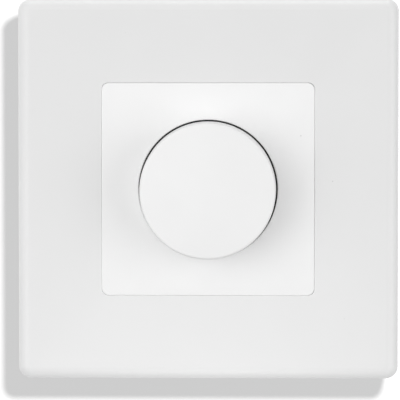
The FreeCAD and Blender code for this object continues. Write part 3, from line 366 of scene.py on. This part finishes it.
def knobTree():
    tree, given = newTree("turnedKnob", {
        "Front radius": "Float", "Rim radius": "Float", "Height": "Float", "Wall": "Float", "Face": "Float",
        "Boss radius": "Float", "Boss length": "Float", "Bore radius": "Float", "Bore length": "Float",
        "Front rounding": "Float", "Rim rounding": "Float", "Inside rounding": "Float",
        "Foot rounding": "Float", "Rib wall": "Float", "Rib depth": "Float", "Ribs": "Int",
        "Segments": "Int", "Finish": "Material"})
    inside = addNode(tree, "ShaderNodeMath", {
        0: given["Front radius"], 1: given["Wall"]}, operation="SUBTRACT")
    rimInside = addNode(tree, "ShaderNodeMath", {
        0: given["Rim radius"], 1: given["Wall"]}, operation="SUBTRACT")
    bossEnd = addNode(tree, "ShaderNodeMath", {0: given["Face"], 1: given["Boss length"]}, operation="ADD")
    boreStart = addNode(tree, "ShaderNodeMath", {0: bossEnd, 1: given["Bore length"]}, operation="SUBTRACT")
    outline = [    # each corner's radius, height and rounding, from the front's middle round to the bore's
        (0.0, 0.0, 0.0),
        (given["Front radius"], 0.0, given["Front rounding"]),
        (given["Rim radius"], given["Height"], given["Rim rounding"]),
        (rimInside, given["Height"], given["Rim rounding"]),
        (inside, given["Face"], given["Inside rounding"]),
        (given["Boss radius"], given["Face"], given["Foot rounding"]),
        (given["Boss radius"], bossEnd, given["Rim rounding"]),
        (given["Bore radius"], bossEnd, given["Rim rounding"]),
        (given["Bore radius"], boreStart, 0.0),
        (0.0, boreStart, 0.0),
    ]
    shell = turn(tree, [(radius, height) for radius, height, _ in outline], given["Segments"],
                 [rounding for _, _, rounding in outline])

    # one rib from the boss to the wall, then the rest round the axis
    length = addNode(tree, "ShaderNodeMath", {0: inside, 1: given["Boss radius"]}, operation="SUBTRACT")
    size = addNode(tree, "ShaderNodeCombineXYZ", {
        "X": length, "Y": given["Rib wall"], "Z": given["Rib depth"]})
    bar = addNode(tree, "GeometryNodeMeshCube", {"Size": size})
    both = addNode(tree, "ShaderNodeMath", {0: inside, 1: given["Boss radius"]}, operation="ADD")
    away = addNode(tree, "ShaderNodeMath", {0: both, 1: 0.5}, operation="MULTIPLY")
    lift = addNode(tree, "ShaderNodeMath", {
        0: given["Rib depth"], 1: 0.5, 2: given["Face"]}, operation="MULTIPLY_ADD")
    place = addNode(tree, "ShaderNodeCombineXYZ", {"X": away, "Z": lift})
    rib = addNode(tree, "GeometryNodeTransform", {"Geometry": bar, "Translation": place})
    seats = addNode(tree, "GeometryNodeMeshCircle", {"Vertices": given["Ribs"], "Radius": 0.0})
    index = addNode(tree, "GeometryNodeInputIndex")
    step = addNode(tree, "ShaderNodeMath", {0: 2 * math.pi, 1: given["Ribs"]}, operation="DIVIDE")
    angle = addNode(tree, "ShaderNodeMath", {0: index, 1: step}, operation="MULTIPLY")
    turned = addNode(tree, "ShaderNodeCombineXYZ", {"Z": angle})
    ribs = addNode(tree, "GeometryNodeInstanceOnPoints", {
        "Points": seats, "Instance": rib, "Rotation": turned})

    joined = addNode(tree, "GeometryNodeJoinGeometry", {"Geometry": shell})
    feed(tree, joined, {"Geometry": ribs})
    upright = addNode(tree, "GeometryNodeTransform", {"Geometry": joined, "Rotation": (-math.pi / 2, 0, 0)})
    placed = addNode(tree, "GeometryNodeInstanceOnPoints", {
        "Points": given["Geometry"], "Instance": upright})
    return endTree(tree, placed, given)


def makeKnob():
    s = knobShape
    knob = grow("knobTurned", knobTree(), {
        "Front radius": s["frontRadius"], "Rim radius": s["rimRadius"], "Height": s["rimY"] - s["frontY"],
        "Wall": s["wall"], "Face": s["face"],
        "Boss radius": s["bossRadius"], "Boss length": s["bossEndY"] - s["frontY"] - s["face"],
        "Bore radius": s["boreRadius"], "Bore length": s["bossEndY"] - s["boreEndY"],
        "Front rounding": s["frontRounding"], "Rim rounding": s["rimRounding"],
        "Inside rounding": s["insideRounding"], "Foot rounding": s["footRounding"],
        "Rib wall": s["ribWall"], "Rib depth": s["ribDepth"], "Ribs": s["ribs"], "Segments": s["segments"],
        "Finish": materials["polycarbonateMouldedWhite"],
    }, [(0, s["frontY"], 0)])
    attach(knob, "knob")
    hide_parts("knob")


makeKnob()
print("knob turned")

screwSets = {
    "housingScrewsTapped": {    # coarse thread for plastic
        "node": "housing_screws", "slot": "plated_steel", "axis": (0, 1, 0),
        "places": [(17.2, -1.0, 15.494), (-17.2, -1.0, 15.494),
                   (-17.2, -1.0, -15.494), (17.2, -1.0, -15.494)],
        "headRadius": 2.4, "headHeight": 1.5, "slotWidth": 0.8, "slotDepth": 0.68,
        "shankRadius": 1.25, "length": 9.5, "pitch": 1.0, "threadDepth": 0.24, "seed": 3},
    "clawScrewsThreaded": {
        "node": "claw_screws", "slot": "plated_steel", "axis": (0, 1, 0),
        "places": [(-25.9, -1.0, 0), (25.9, -1.0, 0)],
        "headRadius": 2.7, "headHeight": 2.0, "slotWidth": 0.8, "slotDepth": 0.9,
        "shankRadius": 1.5, "length": 12.6, "pitch": 0.5, "threadDepth": 0.2, "seed": 5},
    "terminalScrewsThreaded": {
        "node": "terminal_screws", "slot": "plated_steel", "axis": (0, 0, 1),
        "places": [(x, 17.8, -19.5) for x in (-9.3, -3.1, 3.1, 9.3)],
        "headRadius": 1.9, "headHeight": 1.8, "slotWidth": 0.6, "slotDepth": 0.8,
        "shankRadius": 1.45, "length": 3.4, "pitch": 0.5, "threadDepth": 0.2, "seed": 8},
}
screwMake = {    # the same for every screw
    "headSegments": 40, "headRounding": 0.45,    # the rounding as a share of the head's height
    "seatRounding": 0.1, "weld": 0.001, "shankSides": 24, "rowsPerTurn": 6,
    "crestTo": 0.06, "rootFrom": 0.4,    # in pitches from the crest's middle
    "pointFrom": 0.93, "pointRadius": 0.72,    # shares of the length and of the radius
    "slotAngle": 1.4,    # in radians, how far either way a slot came to rest
}


def screwTree():
    tree, given = newTree("slottedScrew", {
        "Head radius": "Float", "Head height": "Float", "Slot width": "Float", "Slot depth": "Float",
        "Shank radius": "Float", "Length": "Float", "Pitch": "Float", "Thread depth": "Float",
        "Rows": "Int", "Axis": "Vector", "Seed": "Int", "Finish": "Material"})
    s = screwMake
    top = addNode(tree, "ShaderNodeMath", {0: given["Head height"], 1: -1.0}, operation="MULTIPLY")
    rounding = addNode(tree, "ShaderNodeMath", {
        0: given["Head height"], 1: s["headRounding"]}, operation="MULTIPLY")
    head = turn(tree, [(0.0, top), (given["Head radius"], top), (given["Head radius"], 0.0), (0.0, 0.0)],
                s["headSegments"], [0, rounding, s["seatRounding"], 0])
    solid = addNode(tree, "GeometryNodeMergeByDistance", {"Geometry": head, "Distance": s["weld"] * mm})
    # the cutter of the slot reaches past the head both ways
    across = addNode(tree, "ShaderNodeMath", {0: given["Head radius"], 1: 3.0}, operation="MULTIPLY")
    deep = addNode(tree, "ShaderNodeMath", {0: given["Slot depth"], 1: 2.0}, operation="MULTIPLY")
    size = addNode(tree, "ShaderNodeCombineXYZ", {"X": across, "Y": given["Slot width"], "Z": deep})
    lift = addNode(tree, "ShaderNodeCombineXYZ", {"Z": top})
    bar = addNode(tree, "GeometryNodeMeshCube", {"Size": size})
    raised = addNode(tree, "GeometryNodeTransform", {"Geometry": bar, "Translation": lift})
    slotted = addNode(tree, "GeometryNodeMeshBoolean", {"Mesh 1": solid, "Mesh 2": raised},
                      operation="DIFFERENCE", solver="EXACT")

    # the shank is a grid rolled to a tube, its first and last row drawn together to close it
    grid = addNode(tree, "GeometryNodeMeshGrid", {
        "Size X": 1.0, "Size Y": 1.0, "Vertices X": s["shankSides"] + 1, "Vertices Y": given["Rows"]})
    spot = addNode(tree, "ShaderNodeSeparateXYZ", {
        "Vector": addNode(tree, "GeometryNodeInputPosition")}).outputs
    share = addNode(tree, "ShaderNodeMath", {0: spot["X"], 1: 0.5}, operation="ADD")
    angle = addNode(tree, "ShaderNodeMath", {0: share, 1: 2 * math.pi}, operation="MULTIPLY")
    last = addNode(tree, "ShaderNodeMath", {0: given["Rows"], 1: 1.0}, operation="SUBTRACT")
    climbed = addNode(tree, "ShaderNodeMath", {0: spot["Y"], 1: 0.5}, operation="ADD")
    row = addNode(tree, "ShaderNodeMath", {0: climbed, 1: last}, operation="MULTIPLY")
    inner = addNode(tree, "ShaderNodeMath", {0: given["Rows"], 1: 2.0}, operation="SUBTRACT")
    along = addNode(tree, "ShaderNodeMapRange", {
        "Value": row, "From Min": 1.0, "From Max": inner, "To Min": 0.0, "To Max": 1.0}, clamp=True)
    height = addNode(tree, "ShaderNodeMath", {0: along, 1: given["Length"]}, operation="MULTIPLY")
    turns = addNode(tree, "ShaderNodeMath", {0: height, 1: given["Pitch"]}, operation="DIVIDE")
    phase = addNode(tree, "ShaderNodeMath", {0: turns, 1: share}, operation="SUBTRACT")
    wave = addNode(tree, "ShaderNodeMath", {0: phase, 1: 0.5}, operation="PINGPONG")
    groove = addNode(tree, "ShaderNodeMapRange", {
        "Value": wave, "From Min": s["crestTo"], "From Max": s["rootFrom"],
        "To Min": 0.0, "To Max": given["Thread depth"]})
    radius = addNode(tree, "ShaderNodeMath", {0: given["Shank radius"], 1: groove}, operation="SUBTRACT")
    taper = addNode(tree, "ShaderNodeMapRange", {
        "Value": along, "From Min": s["pointFrom"], "From Max": 1.0,
        "To Min": 1.0, "To Max": s["pointRadius"]})
    tapered = addNode(tree, "ShaderNodeMath", {0: radius, 1: taper}, operation="MULTIPLY")
    fromMiddle = addNode(tree, "ShaderNodeMath", {0: spot["Y"]}, operation="ABSOLUTE")
    # the end rows, 0.5 from the grid's middle, get no radius
    between = addNode(tree, "ShaderNodeMath", {0: fromMiddle, 1: 0.49999}, operation="LESS_THAN")
    drawn = addNode(tree, "ShaderNodeMath", {0: tapered, 1: between}, operation="MULTIPLY")
    sides = {}
    for label, wheel in (("X", "COSINE"), ("Y", "SINE")):
        swing = addNode(tree, "ShaderNodeMath", {0: angle}, operation=wheel)
        sides[label] = addNode(tree, "ShaderNodeMath", {0: drawn, 1: swing}, operation="MULTIPLY")
    rolled = addNode(tree, "ShaderNodeCombineXYZ", {**sides, "Z": height})
    shank = addNode(tree, "GeometryNodeSetPosition", {"Geometry": grid, "Position": rolled})

    screw = addNode(tree, "GeometryNodeJoinGeometry", {"Geometry": slotted})
    feed(tree, screw, {"Geometry": shank})
    aim = addNode(tree, "FunctionNodeAlignRotationToVector", {"Vector": given["Axis"]}, axis="Z")
    aimed = addNode(tree, "GeometryNodeTransform", {"Geometry": screw, "Rotation": aim})
    chance = addNode(tree, "FunctionNodeRandomValue", {
        2: -s["slotAngle"], 3: s["slotAngle"], "Seed": given["Seed"]}, data_type="FLOAT").outputs[1]
    drivenHome = addNode(tree, "ShaderNodeVectorMath", {0: given["Axis"], "Scale": chance}, operation="SCALE")
    placed = addNode(tree, "GeometryNodeInstanceOnPoints", {
        "Points": given["Geometry"], "Instance": aimed, "Rotation": drivenHome})
    return endTree(tree, placed, given)


slottedScrew = screwTree()
for name, s in screwSets.items():
    steps = int(screwMake["rowsPerTurn"] * s["length"] / s["pitch"])
    screws = grow(name, slottedScrew, {
        "Head radius": s["headRadius"], "Head height": s["headHeight"], "Slot width": s["slotWidth"],
        "Slot depth": s["slotDepth"], "Shank radius": s["shankRadius"], "Length": s["length"],
        "Pitch": s["pitch"], "Thread depth": s["threadDepth"], "Rows": steps + 3,    # two close it
        "Axis": s["axis"], "Seed": s["seed"], "Finish": materials["steelZincPlated"],
    }, s["places"])
    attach(screws, "insert")
    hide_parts(s["node"])
print("screws threaded")

winding = {
    "centre": (-9.0, 9.4, 9.5), "middleRadius": 3.9, "halfWidth": 1.71, "halfHeight": 2.66,
    "wireRadius": 0.33, "wireSides": 8, "turns": 17, "gapDegrees": 56, "squareness": 1.35,
    "stepsPerTurn": 14,
}


def windingTree():
    tree, given = newTree("chokeTurns", {
        "Middle radius": "Float", "Half width": "Float", "Half height": "Float", "Wire radius": "Float",
        "Turns": "Int", "Steps": "Int", "Finish": "Material"})
    count = addNode(tree, "ShaderNodeMath", {
        0: given["Turns"], 1: given["Steps"], 2: 1.0}, operation="MULTIPLY_ADD")
    line = addNode(tree, "GeometryNodeMeshLine", {"Count": count})
    path = addNode(tree, "GeometryNodeMeshToCurve", {"Mesh": line})
    index = addNode(tree, "GeometryNodeInputIndex")
    wound = addNode(tree, "ShaderNodeMath", {0: index, 1: given["Steps"]}, operation="DIVIDE")
    around = addNode(tree, "ShaderNodeMath", {0: wound, 1: 2 * math.pi}, operation="MULTIPLY")
    gap = math.radians(winding["gapDegrees"])
    angle = addNode(tree, "ShaderNodeMapRange", {
        "Value": wound, "From Min": 0.0, "From Max": given["Turns"],
        "To Min": gap / 2, "To Max": 2 * math.pi - gap / 2})
    reaches, swings = [], []
    for wheel in ("COSINE", "SINE"):
        wave = addNode(tree, "ShaderNodeMath", {0: around}, operation=wheel)
        taller = addNode(tree, "ShaderNodeMath", {0: wave, 1: winding["squareness"]}, operation="MULTIPLY")
        # each turn is flattened against the core's faces
        reaches.append(addNode(tree, "ShaderNodeClamp", {"Value": taller, "Min": -1.0, "Max": 1.0}))
        swings.append(addNode(tree, "ShaderNodeMath", {0: angle}, operation=wheel))
    radius = addNode(tree, "ShaderNodeMath", {
        0: reaches[0], 1: given["Half width"], 2: given["Middle radius"]}, operation="MULTIPLY_ADD")
    height = addNode(tree, "ShaderNodeMath", {0: reaches[1], 1: given["Half height"]}, operation="MULTIPLY")
    x, z = [addNode(tree, "ShaderNodeMath", {0: radius, 1: swing}, operation="MULTIPLY") for swing in swings]
    spot = addNode(tree, "ShaderNodeCombineXYZ", {"X": x, "Y": height, "Z": z})
    helix = addNode(tree, "GeometryNodeSetPosition", {"Geometry": path, "Position": spot})
    section = addNode(tree, "GeometryNodeCurvePrimitiveCircle", {
        "Resolution": winding["wireSides"], "Radius": given["Wire radius"]})
    wire = addNode(tree, "GeometryNodeCurveToMesh", {
        "Curve": helix, "Profile Curve": section, "Fill Caps": True})
    placed = addNode(tree, "GeometryNodeInstanceOnPoints", {"Points": given["Geometry"], "Instance": wire})
    return endTree(tree, placed, given)


coil = grow("chokeTurns", windingTree(), {
    "Middle radius": winding["middleRadius"], "Half width": winding["halfWidth"],
    "Half height": winding["halfHeight"], "Wire radius": winding["wireRadius"], "Turns": winding["turns"],
    "Steps": winding["stepsPerTurn"], "Finish": materials["copperEnamelled"]}, [winding["centre"]])
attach(coil, "insert")
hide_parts("choke_winding")
print("choke wound")

solderSets = {
    "powerBoardSolder": {    # leads of the choke, the capacitors, the fuse and the terminals
        "places": [(-13.0, 14.0, 9.5), (-5.0, 14.0, 9.5), (2.5, 14.0, 10.99), (12.5, 14.0, 10.99),
                   (14.0, 14.0, -0.25), (14.0, 14.0, 3.25), (-17.0, 14.0, -2.0), (-12.0, 14.0, -2.0)],
        "baseRadius": 0.9, "neckRadius": 0.42, "height": 0.62,
        "leadRadius": 0.3, "leadHeight": 0.8, "seed": 4},
    "transistorSolder": {
        "places": [(side + step, 14.0, -6.0) for side in (-6.0, 6.0) for step in (-2.5, 0.0, 2.5)],
        "baseRadius": 0.62, "neckRadius": 0.4, "height": 0.4,
        "leadRadius": 0.3, "leadHeight": 0.5, "seed": 6},
    "encoderSolder": {
        "places": [(-2.5, 4.2, -5.0), (0.0, 4.2, -5.0), (2.5, 4.2, -5.0), (-2.5, 4.2, 5.0), (2.5, 4.2, 5.0)],
        "baseRadius": 0.85, "neckRadius": 0.45, "height": 0.6,
        "leadRadius": 0.3, "leadHeight": 0.75, "seed": 9},
}
solderMake = {    # the same for every joint
    "waist": 0.3, "foot": 0.06,    # shares of the cone's height
    "roundings": [0, 0.08, 0.1, 0.35, 0.02, 0, 0], "segments": 24,
    "narrowest": 0.86,    # share of its width that the thinnest joint may have
}


def solderTree():
    tree, given = newTree("solderedJoint", {
        "Base radius": "Float", "Neck radius": "Float", "Height": "Float", "Lead radius": "Float",
        "Lead height": "Float", "Seed": "Int", "Finish": "Material"})
    s = solderMake
    waist = addNode(tree, "ShaderNodeMath", {0: given["Height"], 1: s["waist"]}, operation="MULTIPLY")
    foot = addNode(tree, "ShaderNodeMath", {0: given["Height"], 1: s["foot"]}, operation="MULTIPLY")
    corners = [(0.0, given["Lead height"]), (given["Lead radius"], given["Lead height"]),
               (given["Lead radius"], given["Height"]), (given["Neck radius"], waist),
               (given["Base radius"], foot), (given["Base radius"], 0.0), (0.0, 0.0)]
    cone = turn(tree, corners, s["segments"], s["roundings"])
    upright = addNode(tree, "GeometryNodeTransform", {"Geometry": cone, "Rotation": (-math.pi / 2, 0, 0)})
    chance = addNode(tree, "FunctionNodeRandomValue", {
        2: s["narrowest"], 3: 1.0, "Seed": given["Seed"]}, data_type="FLOAT").outputs[1]
    size = addNode(tree, "ShaderNodeCombineXYZ", {"X": chance, "Y": 1.0, "Z": chance})
    placed = addNode(tree, "GeometryNodeInstanceOnPoints", {
        "Points": given["Geometry"], "Instance": upright, "Scale": size})
    return endTree(tree, placed, given)


solderedJoint = solderTree()
for name, s in solderSets.items():
    solder = grow(name, solderedJoint, {
        "Base radius": s["baseRadius"], "Neck radius": s["neckRadius"], "Height": s["height"],
        "Lead radius": s["leadRadius"], "Lead height": s["leadHeight"], "Seed": s["seed"],
        "Finish": materials["solderWaved"]}, s["places"])
    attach(solder, "insert")
print("joints soldered")

# The photograph's view, a degree from the right and three from above
shot = {"aim": (-1.70, -8.9, -2.24), "distance": 600.0, "azimuth": 1.12, "elevation": 2.85, "lens": 257.15}


def makeCamera():
    azimuth, elevation = math.radians(shot["azimuth"]), math.radians(shot["elevation"])
    level = math.cos(elevation)
    back = Vector((math.sin(azimuth) * level, -math.cos(azimuth) * level, math.sin(elevation)))
    camera = bpy.data.objects.new("camera", bpy.data.cameras.new("camera"))
    scene.collection.objects.link(camera)
    camera.data.lens = shot["lens"]
    camera.location = (Vector(shot["aim"]) + back * shot["distance"]) * mm
    camera.rotation_euler = (-back).to_track_quat("-Z", "Y").to_euler()
    camera.data.clip_start, camera.data.clip_end = 0.01, 20.0    # metres
    scene.camera = camera
    return camera


camera = makeCamera()

# White paper board behind the insert. Behind the part it glows as brightly as the photograph's shadow, the
# shadow lamp adds the rest up to white, and further out it fades to the white of the world.
backdropLook = {
    "y": 27.0, "half": 160.0, "fadeFrom": 66.0, "fadeTo": 105.0,
    "shadow": 0.578, "lit": 0.1,    # its glow, and the grey that the shadow lamp lights
    "unseen": 0.16,    # the grey that it has in light thrown back on the part
}


def seenMask(tree):    # 1 where the camera, a mirror or glass shows the surface
    path = addNode(tree, "ShaderNodeLightPath").outputs
    mirrored = addNode(tree, "ShaderNodeMath", {
        0: path["Is Glossy Ray"], 1: path["Is Transmission Ray"]}, operation="MAXIMUM")
    return addNode(tree, "ShaderNodeMath", {0: path["Is Camera Ray"], 1: mirrored}, operation="MAXIMUM")


def makeBackdrop():
    s = backdropLook
    half = s["half"]
    mesh = bpy.data.meshes.new("backdrop")
    corners = [(-half, s["y"], -half), (half, s["y"], -half), (half, s["y"], half), (-half, s["y"], half)]
    mesh.from_pydata([Vector(corner) * mm for corner in corners], [], [(0, 1, 2, 3)])
    backdrop = bpy.data.objects.new("backdrop", mesh)
    scene.collection.objects.link(backdrop)
    backdrop.visible_shadow = False
    material = bpy.data.materials.new("cardMattWhite")    # paper board: flat white, no gloss
    material.use_nodes = True
    tree = material.node_tree
    tree.nodes.clear()
    geometry = addNode(tree, "ShaderNodeNewGeometry")
    distance = addNode(tree, "ShaderNodeVectorMath", {
        0: geometry.outputs["Position"], 1: (0, s["y"] * mm, 0)}, operation="DISTANCE").outputs["Value"]
    fade = addNode(tree, "ShaderNodeMapRange", {
        "Value": distance, "From Min": s["fadeFrom"] * mm, "From Max": s["fadeTo"] * mm},
        interpolation_type="SMOOTHSTEP")
    glow = addNode(tree, "ShaderNodeEmission", {"Strength": s["shadow"]})
    card = addNode(tree, "ShaderNodeBsdfDiffuse", {"Color": (s["lit"], s["lit"], s["lit"], 1.0)})
    shaded = addNode(tree, "ShaderNodeAddShader", {0: glow, 1: card})
    white = addNode(tree, "ShaderNodeEmission", {"Strength": 1.0})
    seen = addNode(tree, "ShaderNodeMixShader", {0: fade, 1: shaded, 2: white})
    plain = addNode(tree, "ShaderNodeBsdfDiffuse", {"Color": (s["unseen"], s["unseen"], s["unseen"], 1.0)})
    front = addNode(tree, "ShaderNodeMixShader", {0: seenMask(tree), 1: plain, 2: seen})
    through = addNode(tree, "ShaderNodeBsdfTransparent")    # from behind it isn't there
    sheet = addNode(tree, "ShaderNodeMixShader", {0: geometry.outputs["Backfacing"], 1: front, 2: through})
    addNode(tree, "ShaderNodeOutputMaterial", {"Surface": sheet})
    mesh.materials.append(material)
    return backdrop


backdrop = makeBackdrop()

# Place, width and power of each lamp. One that is "on" something lights that alone, and only it shades it:
# these graze the edges of the frame, the plate and the knob.
lamps = {
    "left": {"place": (-919, -771, 0), "size": 1000, "power": 2.94},
    "leftFront": {"place": (-563, -1060, 0), "size": 1000, "power": 2.7},
    "right": {"place": (919, -771, 0), "size": 1000, "power": 5.24},
    "topLeftFront": {"place": (-398, -1060, 398), "size": 1000, "power": 2.18},
    "frameLow": {"place": (0, -60, -90), "size": 60, "power": 0.014, "on": ("frame",)},
    "frameLeft": {"place": (-1195, -105, 0), "size": 1000, "power": 1.9, "on": ("frame",)},
    "frameTop": {"place": (0, -105, 1195), "size": 1000, "power": 5.3, "on": ("frame",)},
    "plateLeft": {"place": (-1195, -105, 0), "size": 1000, "power": 3.9, "on": ("centre_plate",)},
    "lowRight": {"place": (1120, -105, -410), "size": 1000, "power": 1.7, "on": ("centre_plate", "frame")},
    "knobTop": {"place": (0, -105, 1195), "size": 1000, "power": 2.0, "on": ("knobTurned",)},
    "rear": {"place": (-300, 1200, 700), "size": 700, "power": 5.0},
}
# The small lamp beside the camera that draws the part's shadow on the backdrop, and lights nothing else
shadowLamp = {"offset": (56.6, 50.0, 71.6), "radius": 15.6, "power": 80.5}
ambient = 0.404    # strength of the white room


def gather(name, members):
    group = bpy.data.collections.new(name)
    scene.collection.children.link(group)
    for member in members:
        group.objects.link(member)
    return group


def hangLamp(name, kind, place, power, lights):
    light = bpy.data.lights.new(name, kind)
    light.energy = power
    lamp = bpy.data.objects.new(name, light)
    scene.collection.objects.link(lamp)
    lamp.location = place
    lamp.light_linking.receiver_collection = lights
    return lamp


def makeLamps():
    backdropOnly = gather("backdropOnly", [backdrop])
    allButBackdrop = gather("allButBackdrop", [backdrop])
    allButBackdrop.collection_objects[0].light_linking.link_state = "EXCLUDE"
    for name, s in lamps.items():
        lamp = hangLamp(name, "AREA", Vector(s["place"]) * mm, s["power"], allButBackdrop)
        lamp.data.shape, lamp.data.size = "DISK", s["size"] * mm
        lamp.rotation_euler = (-lamp.location).to_track_quat("-Z", "Y").to_euler()
        lamp.visible_camera = False
        if "on" in s:
            few = gather(name + "Only", [bpy.data.objects[part] for part in s["on"]])
            lamp.light_linking.receiver_collection = few
            lamp.light_linking.blocker_collection = few
    place = camera.location + Vector(shadowLamp["offset"]) * mm
    lamp = hangLamp("shadow", "POINT", place, shadowLamp["power"], backdropOnly)
    lamp.data.shadow_soft_size = shadowLamp["radius"] * mm


def makeWorld():
    world = bpy.data.worlds.new("studio")
    scene.world = world
    world.use_nodes = True
    tree = world.node_tree
    tree.nodes.clear()
    room, white = [addNode(tree, "ShaderNodeBackground", {"Color": (1, 1, 1, 1), "Strength": strength})
                   for strength in (ambient, 1.0)]
    mixed = addNode(tree, "ShaderNodeMixShader", {0: seenMask(tree), 1: room, 2: white})
    addNode(tree, "ShaderNodeOutputWorld", {"Surface": mixed})


makeLamps()
makeWorld()
scene.view_settings.view_transform = "Standard"
print("stage set")
